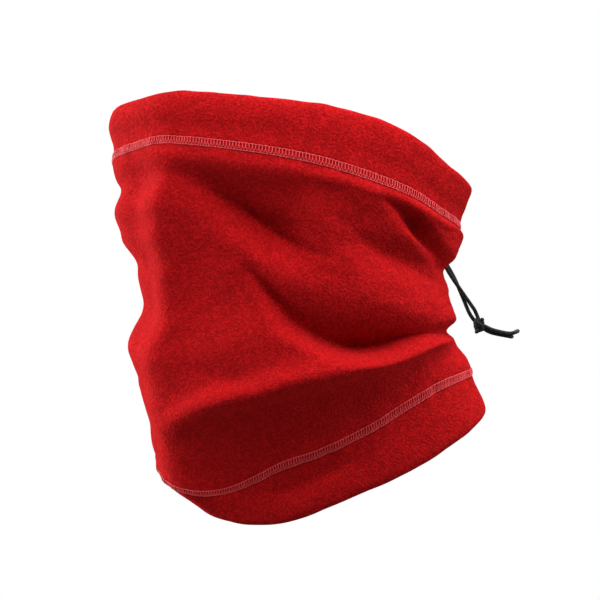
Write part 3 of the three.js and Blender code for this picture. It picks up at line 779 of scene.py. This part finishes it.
# The stitches pull the cloth in along their rows, and it puckers between them. The wall rolls out just
# under the top hem, whose own face is a little hollow. The back seam is a shallow groove.
pull = sum(0.3 * near(cloth, row, 0.7) for row in STITCH_ROWS)
pull += 0.5 * near(cloth, 206, 7) - 1.8 * near(cloth, 221.5, 6.5) + 1.3 * near(cloth, 240, 6)
pull += 6 * (np.sin(angle) * np.clip((cloth - 234) / 26, 0, 1)) ** 2
for row in (HEM_DEPTH - 2, TUBE_LENGTH - HEM_DEPTH + 2):
    pull += waves(turn, cloth * 0, 11 + row, 24, 5, 16, 0.5) * near(cloth, row, 5)
seam_away = (turn - NAPE) / 360 * ROUND
pull += 0.7 * near(seam_away, 0, 1.6) - 0.4 * near(np.abs(seam_away), 4, 2.2)
for side in ("left", "right"):  # the fleece is punched through at the eyelets
    mouth, _ = eyelet_axis(side)
    seat = np.array(oval_to_row.inverted() @ mouth) / MM
    pull += 4.5 * np.clip(1.4 - (np.linalg.norm(face_of_cloth - seat, axis=-1) / 3.2) ** 2, 0, 1)
face_of_cloth = face_of_cloth - normals_of(face_of_cloth) * pull[..., None]
cloth_normals = normals_of(face_of_cloth)
soft_normals = blurred(cloth_normals, 24, 5)
soft_normals /= np.linalg.norm(soft_normals, axis=-1, keepdims=True)


def on_cloth(degrees, height, deep):
    """Points in the row frame, in metres, at places on the cloth: deep is how far in from its outer face."""
    degrees, height, deep = np.broadcast_arrays(degrees, height, np.asarray(deep, float))
    column = np.mod(degrees, 360) / 360 * COLUMNS
    row = np.clip(height / ROW_STEP, 0, len(row_heights) - 1.001)
    c0, r0 = np.floor(column).astype(int), np.floor(row).astype(int)
    fc, fr = (column - c0)[..., None], (row - r0)[..., None]
    c0, c1 = c0 % COLUMNS, (c0 + 1) % COLUMNS

    def sample(grid):
        lower = grid[r0, c0] * (1 - fc) + grid[r0, c1] * fc
        upper = grid[r0 + 1, c0] * (1 - fc) + grid[r0 + 1, c1] * fc
        return lower * (1 - fr) + upper * fr

    share = np.clip(deep / FLEECE, 0, 1)[..., None]
    normal = sample(cloth_normals) * (1 - share) + sample(soft_normals) * share
    points = sample(face_of_cloth) - normal * deep[..., None]
    turned_to_row = np.array(oval_to_row.to_3x3())
    return points @ turned_to_row.T * MM


def cloth_section():
    """The section of the cloth, walked round once: up the face, over the top hem and down its turned-in
    flap, down the back of the wall and round the bottom hem, as (height, depth) points."""
    flap, roomy, top = FLEECE + LAYER_GAP, FLEECE + CHANNEL, TUBE_LENGTH
    stitched = [np.arange(r - 1.5, r + 5.6, 0.5) for r in STITCH_ROWS[::2]]
    outer = np.unique(np.concatenate([np.arange(5, top - 5, 1.65), *stitched]))
    outer = outer[np.concatenate([[True], np.diff(outer) > 0.3])]
    up = np.column_stack([outer, np.zeros(len(outer))])
    over = smooth_line([
        (top - 5, 0), (top - 2, 0.5), (top - 0.4, 1.9), (top, 3.6), (top - 0.3, 6.3), (top - 4, 9.2),
        (top - 12, roomy + FLEECE), (top - 20, 8.4), (top - 25, flap + FLEECE),
        (top - 30, flap + FLEECE + 0.2), (top - 35, flap + FLEECE), (top - 36, flap + 2.1),
        (top - 36, flap + 0.6), (top - 34.6, flap), (top - 25, flap), (top - 18, 6), (top - 12, roomy),
        (top - 7, 6.2), (top - 4.5, 4.6), (top - 7, FLEECE), (top - 18, FLEECE),
    ], 2)
    inner = np.arange(top - 22, 20, -3.4)
    down = np.column_stack([inner, np.full(len(inner), float(FLEECE))])
    under = smooth_line([
        (16, FLEECE), (4.6, FLEECE), (4, flap - 0.1), (5, flap), (16, flap), (34.6, flap), (36, flap + 0.6),
        (36, flap + 2.1), (35, flap + FLEECE), (26, flap + FLEECE), (12, flap + FLEECE), (3.4, 6.2),
        (0.8, 5.0), (0, 3.3), (0.4, 1.7), (2, 0.5), (4, 0),
    ], 2)
    return np.vstack([up, over, down, under])


section = cloth_section()
rows = len(section)
points = on_cloth(column_degrees[None, :], section[:, :1], section[:, 1:]).reshape(-1, 3)
i, j = np.meshgrid(np.arange(rows), np.arange(COLUMNS), indexing="ij")
i, j = i.ravel(), j.ravel()
i1, j1 = (i + 1) % rows, (j + 1) % COLUMNS
quads = np.column_stack([i * COLUMNS + j, i * COLUMNS + j1, i1 * COLUMNS + j1, i1 * COLUMNS + j])
fleece = surface_of("fleece_body", points, quads)
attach(fleece, "gaiter")
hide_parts("fleece_tube")

# The nap of polar fleece: brushed fibre that clumps into small soft pebbles. Its colour is painted
# shade, darker in the hollows between the pebbles, mixed with the random tone of the fibres and clumps.
nap, g, given, out = finish_group(
    "fleece_nap", {"Pebble": 0.0011, "Fluff": 0.7}, ["Height", "Shade", "Drift"]
)
place = g.add("ShaderNodeTexCoord").outputs["Object"]
bend = g.add("ShaderNodeTexNoise", {"Vector": place, "Scale": 260.0, "Detail": 2.0}).outputs["Color"]
bent = g.add("ShaderNodeVectorMath", {0: bend, 1: (0.5, 0.5, 0.5)}, operation="SUBTRACT").outputs[0]
bent = g.add("ShaderNodeVectorMath", {0: bent, 1: (0.0016, 0.0016, 0.0016)}, operation="MULTIPLY").outputs[0]
place = g.add("ShaderNodeVectorMath", {0: place, 1: bent}, operation="ADD").outputs[0]
pebbles_a_metre = g.math("DIVIDE", 1.0, given.outputs["Pebble"])
cells = g.add(
    "ShaderNodeTexVoronoi", {"Vector": place, "Scale": pebbles_a_metre}, feature="SMOOTH_F1"
).outputs["Distance"]
fibres = g.add(
    "ShaderNodeTexNoise", {"Vector": place, "Scale": 1900.0, "Detail": 5.0, "Roughness": 0.7}
).outputs[0]
clumps = g.add("ShaderNodeTexNoise", {"Vector": place, "Scale": 330.0, "Detail": 3.0}).outputs[0]
pebbles = g.math("SUBTRACT", 1.0, g.ramp(cells, 0.1, 0.75))
rough = g.math("MULTIPLY", g.math("SUBTRACT", fibres, 0.5), given.outputs["Fluff"])
height = g.math("ADD", g.math("MULTIPLY", pebbles, g.ramp(clumps, 0.25, 0.75, 0.35, 1.0)), rough)
g.feed(out.inputs["Height"], height)
g.feed(out.inputs["Shade"], g.ramp(height, -0.05, 0.8))
g.feed(out.inputs["Drift"], g.add("ShaderNodeTexNoise", {"Scale": 38.0, "Detail": 2.0}).outputs[0])

fleece_red, nodes, shader = material(
    "fleece_red", Roughness=0.95, Sheen_Weight=0.05, Sheen_Roughness=0.5, Sheen_Tint=(1.0, 0.08, 0.08, 1),
    Specular_IOR_Level=0.05,
)
napped = nodes.add("ShaderNodeGroup", node_tree=nap)
# Painted shade: the nap's Shade darkens the hollows between the pebbles, and the fibres and clumps add random
# tone.
red = nodes.mix(napped.outputs["Shade"], (0.30, 0.0034, 0.0044, 1), (0.49, 0.0066, 0.0082, 1))
drift = nodes.ramp(napped.outputs["Drift"], 0.3, 0.7, 0.95, 1.04)
nodes.feed(shader.inputs["Base Color"], nodes.mix(1.0, red, drift, "MULTIPLY"))
bumped(nodes, shader, napped.outputs["Height"], 0.00045, 0.7)
fleece.data.materials.append(fleece_red)

# ---- Hem stitching ----
# Each hem is held by a coverstitch in red polyester: two rows of needle stitches 4 mm apart, and the looper
# thread, which crosses from row to row over the face of the cloth. Inside, a second looper thread joins the
# same rows.
STITCH = 2.8  # length of one stitch
THREAD_RADIUS = 0.28
stitches = round(ROUND / STITCH)

ply, g, given, out = finish_group("thread_ply", {"Twist": 0.0011}, ["Height"])
place = g.add("ShaderNodeSeparateXYZ", {0: g.add("ShaderNodeUVMap", uv_map="along").outputs[0]}).outputs
lay = g.math("ADD", g.math("MULTIPLY", place[0], 3.0), g.math("DIVIDE", place[1], given.outputs["Twist"]))
g.feed(out.inputs["Height"], g.math("ABSOLUTE", g.math("SINE", g.math("MULTIPLY", lay, math.pi))))

thread_red, nodes, shader = material(
    "thread_red", Roughness=0.55, Sheen_Weight=0.1, Sheen_Roughness=0.35, Sheen_Tint=(1.0, 0.4, 0.4, 1),
    Specular_IOR_Level=0.4,
)
twist = nodes.add("ShaderNodeGroup", node_tree=ply)
fray = nodes.add("ShaderNodeTexNoise", {"Scale": 1400.0, "Detail": 3.0}).outputs[0]
# The thread's colour is painted shade in the grooves between its plies, darker where the twist is low, mixed
# with a random fray of the fibre.
ply_groove_shade_and_fray = nodes.math("MULTIPLY", twist.outputs["Height"], fray)
nodes.feed(shader.inputs["Base Color"],
           nodes.mix(nodes.ramp(ply_groove_shade_and_fray, 0.0, 0.6), (0.50, 0.018, 0.023, 1), (0.85, 0.070, 0.082, 1)))
bumped(nodes, shader, twist.outputs["Height"], 0.00008, 0.8)


def sewn(name, degrees, heights, proud, node=None, radius=THREAD_RADIUS, closed=True):
    """A thread laid on the cloth as one piece."""
    thread = tube(name, on_cloth(degrees, heights, -proud), radius * MM, 6, closed)
    thread.data.materials.append(thread_red)
    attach(thread, "gaiter")
    if node:
        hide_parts(node)


def needle_row(name, row, node):
    """Short stitches end to end: each rises out of the cloth, lies along it and dives back in."""
    steps = np.arange(stitches * 6)  # six points to a stitch
    share = (steps % 6) / 6
    proud = 0.42 - 0.75 * np.exp(-((np.minimum(share, 1 - share) / 0.13) ** 2))
    sewn(name, NAPE + steps * 360 / len(steps), np.full(len(steps), float(row)), proud, node)


def looper(name, low, high, start, lift, node=None, deep=0.0):
    """A thread that crosses from row to row at each stitch, and loops round a needle thread at each turn."""
    steps = np.arange(stitches * 8)  # eight points to a stitch
    share = (steps % 8) / 8
    swing_over = np.clip(0.5 - 0.62 * np.cos(2 * math.pi * (share + start)), 0, 1)
    bulge = 0.22 * np.sin(2 * math.pi * (share + start)) * STITCH / ROUND * 360
    heights = low + (high - low) * swing_over
    proud = np.where(share < 0.5, lift, 0.35) - deep
    sewn(name, NAPE + steps * 360 / len(steps) + bulge, heights, proud, node, THREAD_RADIUS * 0.7)


INSIDE_FLAP = 2 * FLEECE + LAYER_GAP
for hem, low, high in (("bottom", *STITCH_ROWS[:2]), ("top", *STITCH_ROWS[2:])):
    needle_row(f"{hem}_hem_stitches_lower", low, f"{hem}_hem_needle_thread_lower")
    needle_row(f"{hem}_hem_stitches_upper", high, f"{hem}_hem_needle_thread_upper")
    looper(f"{hem}_hem_crossing", low, high, 0.0, 0.6, f"{hem}_hem_looper_thread")
    looper(f"{hem}_hem_crossing_back", low, high, 0.5, 0.4)
    looper(f"{hem}_hem_inner_crossing", low, high, 0.25, -0.3, deep=INSIDE_FLAP)

# ---- Back seam ----
# The panel's two cut edges are joined at the nape by a three-thread overlock. Its seam allowance lies flat
# inside, between the two turned-in hems, and shows outside only as a shallow groove.
seam_heights = np.arange(38.5, 222, 1.5)
ALLOWANCE_FOOT = 2.7  # how deep its edges meet the cloth
allowance = np.array([  # its section: across, and how deep
    (-3.4, ALLOWANCE_FOOT), (-2.9, 4.6), (-1.2, 5.3), (1.2, 5.3), (2.9, 4.6), (3.4, ALLOWANCE_FOOT),
])
near_ends = np.clip(np.minimum(seam_heights - 37, 223 - seam_heights) / 6, 0.2, 1)[:, None]
strip = on_cloth(
    NAPE + allowance[None, :, 0] * near_ends / ROUND * 360, seam_heights[:, None],
    ALLOWANCE_FOOT + (allowance[None, :, 1] - ALLOWANCE_FOOT) * near_ends,
)
n, sides = strip.shape[:2]
i, j = np.meshgrid(np.arange(n - 1), np.arange(sides), indexing="ij")
i, j = i.ravel(), j.ravel()
this_row, next_row, j1 = i * sides, (i + 1) * sides, (j + 1) % sides
quads = np.column_stack([this_row + j, next_row + j, next_row + j1, this_row + j1])
end = (n - 1) * sides
caps = [(0, 1, 2, 5), (2, 3, 4, 5), (end + 5, end + 2, end + 1, end), (end + 5, end + 4, end + 3, end + 2)]
seam_allowance = surface_of("back_seam_allowance", strip.reshape(-1, 3), np.vstack([quads, caps]))
seam_allowance.data.materials.append(fleece_red)
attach(seam_allowance, "gaiter")

OVERLOCK_PITCH = 2.6
OVERLOCK_REACH = 3.1  # from the seam to each of its edges
along_seam = np.arange(39.5, 221, 0.26)
crossing = np.abs(np.mod(along_seam / OVERLOCK_PITCH, 2) - 1) * 2 - 1
sewn(
    "back_seam_overlock", NAPE + crossing * OVERLOCK_REACH / ROUND * 360, along_seam,
    -(5.45 - 1.9 * np.abs(crossing) ** 3), "back_seam_thread", closed=False,
)
along_edge = np.arange(39.5, 221, 0.65)
for side, edge in (("left", -OVERLOCK_REACH), ("right", OVERLOCK_REACH)):
    wander = edge + 0.25 * np.sin(along_edge * 2 * math.pi / OVERLOCK_PITCH)
    sewn(
        f"back_seam_chain_{side}", NAPE + wander / ROUND * 360, along_edge,
        np.full(len(along_edge), -3.75), closed=False,
    )

# ---- Eyelets ----
# Two small brass eyelets with a black oxide finish, 2.8 mm over the barrel, are pressed through the hem's
# outer layer from its face, each into a washer behind the cloth. The flange is rolled and wears bright
# along its crown.
eyelet_black = hard_material(
    "eyelet_black_oxide", (0.045, 0.043, 0.042, 1), (0.32, 0.24, 0.13, 1), 0.00005, 0.30, Metallic=1.0
)
FLANGE_HEIGHT = 1.0
EYELET_RING = [
    (-3.1, 2.2), (-3.3, 2.5), (-3.1, 2.8), (0.3, 2.8), (0.3, 4.25), (0.5, 4.55), (0.85, 4.45), (1.15, 3.8),
    (1.2, 3.1), (1.0, 2.5), (0.4, 2.2), (-3.1, 2.2),
]


def eyelet_seat(side):
    """A frame at the cloth's face in the middle of an eyelet, with +X straight out."""
    middle = middle_of(f"eyelet_{side}")
    _, out_of_cloth = eyelet_axis(side)
    vertices = frame["nodes"][f"eyelet_{side}"].data.vertices
    reach = max((v.co - middle).dot(out_of_cloth) for v in vertices)
    seat = out_of_cloth.to_track_quat("X", "Z").to_matrix().to_4x4()
    seat.translation = middle + out_of_cloth * (reach - FLANGE_HEIGHT * MM)
    return seat


for side in ("left", "right"):
    eyelet = turned(f"eyelet_rolled_{side}", rounded(EYELET_RING, 0.3), eyelet_seat(side))
    eyelet.data.materials.append(eyelet_black)
    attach(eyelet, "gaiter")
    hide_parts(f"eyelet_{side}")
    washer = frame["nodes"][f"eyelet_washer_{side}"]
    washer.data.materials.clear()
    washer.data.materials.append(eyelet_black)

# ---- Drawcord in its channel ----
# The same cord runs loose round the top hem, between its outer layer and the turned-in flap, and comes out
# through both eyelets. Each free strand starts where it leaves its eyelet.
RUN_DEPTH = FLEECE + 2.1
RUN_POINTS = 64
run_degrees = np.linspace(NAPE + 8.4, NAPE + 351.6, RUN_POINTS)
inside_hem = on_cloth(run_degrees, np.full(RUN_POINTS, float(CHANNEL_HEIGHT)), RUN_DEPTH)
ends = {
    side: [eyelet_seat(side) @ Vector((d * MM, 0, 0)) for d in (0.9, -1, -3.4)]
    for side in ("left", "right")
}
channel_line = smooth_line([*ends["right"], *inside_hem, *ends["left"][::-1]], 4)
channel_cord = tube("drawcord_in_channel", channel_line, CORD_DIAMETER / 2, 14)
channel_cord.data.materials.append(cord_black)
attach(channel_cord, "gaiter")
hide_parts("drawcord_channel_run")

# ---- Floor and light ----
# A pale floor well below the part, which the neck holds up, and soft studio boxes at both sides and above. The
# camera sees floor and background paler than they light the cloth, so that little light comes from below.
FLOOR_RADIUS = 3.0
FLOOR_Z = -0.60
FLOOR_SIDES = 96
floor_mesh = bpy.data.meshes.new("floor")
rim_turn = np.arange(FLOOR_SIDES) * 2 * math.pi / FLOOR_SIDES
rim = [(FLOOR_RADIUS * math.cos(a), FLOOR_RADIUS * math.sin(a), FLOOR_Z) for a in rim_turn]
floor_mesh.from_pydata(rim, [], [tuple(range(FLOOR_SIDES))])
floor = bpy.data.objects.new("floor", floor_mesh)
scene.collection.objects.link(floor)
pale, nodes, shader = material("floor_pale", Roughness=0.9)
seen = nodes.add("ShaderNodeLightPath").outputs["Is Camera Ray"]
nodes.feed(shader.inputs["Base Color"], nodes.mix(seen, (0.22, 0.22, 0.22, 1), (0.40, 0.40, 0.41, 1)))
shader.inputs["Emission Color"].default_value = (1, 1, 1, 1)
nodes.feed(shader.inputs["Emission Strength"], nodes.math("MULTIPLY", seen, 0.72))
floor_mesh.materials.append(pale)
floor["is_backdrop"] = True

world = bpy.data.worlds.new("studio")
world.use_nodes = True
scene.world = world
nodes = Nodes(world.node_tree)
background = world.node_tree.nodes["Background"]
AMBIENT = 0.03
seen = nodes.add("ShaderNodeLightPath").outputs["Is Camera Ray"]
nodes.feed(background.inputs["Color"], nodes.mix(seen, (AMBIENT, AMBIENT, AMBIENT, 1), (1.0, 1.0, 1.0, 1)))


def softbox(name, across, towards, up, width, tall, power):
    """An area light placed in the camera's terms about the gaiter's middle, in metres, and aimed at it."""
    light = bpy.data.lights.new(name, "AREA")
    light.shape = "RECTANGLE"
    light.size, light.size_y, light.energy = width, tall, power
    box = bpy.data.objects.new(name, light)
    across_camera = Vector((math.cos(OVAL_TURN), math.sin(OVAL_TURN), 0))
    middle = Vector((0, 0, 0.12))
    box.location = middle + across_camera * across + towards_camera * towards + Vector((0, 0, up))
    box.rotation_euler = (middle - box.location).to_track_quat("-Z", "Y").to_euler()
    scene.collection.objects.link(box)


softbox("left_box", -0.82, -0.20, 0.04, 0.55, 0.7, 11.5)
softbox("right_box", 0.66, 0.02, 0.52, 0.55, 0.7, 6.5)
softbox("top_box", 0.0, 0.50, 0.69, 0.5, 0.6, 9.0)
softbox("high_box", 0.0, -0.05, 0.85, 0.55, 0.6, 4.5)
softbox("low_left_box", -0.80, 0.1, -0.30, 0.5, 0.4, 2.4)
softbox("low_right_box", 0.80, 0.1, -0.30, 0.5, 0.4, 2.4)

low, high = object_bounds()
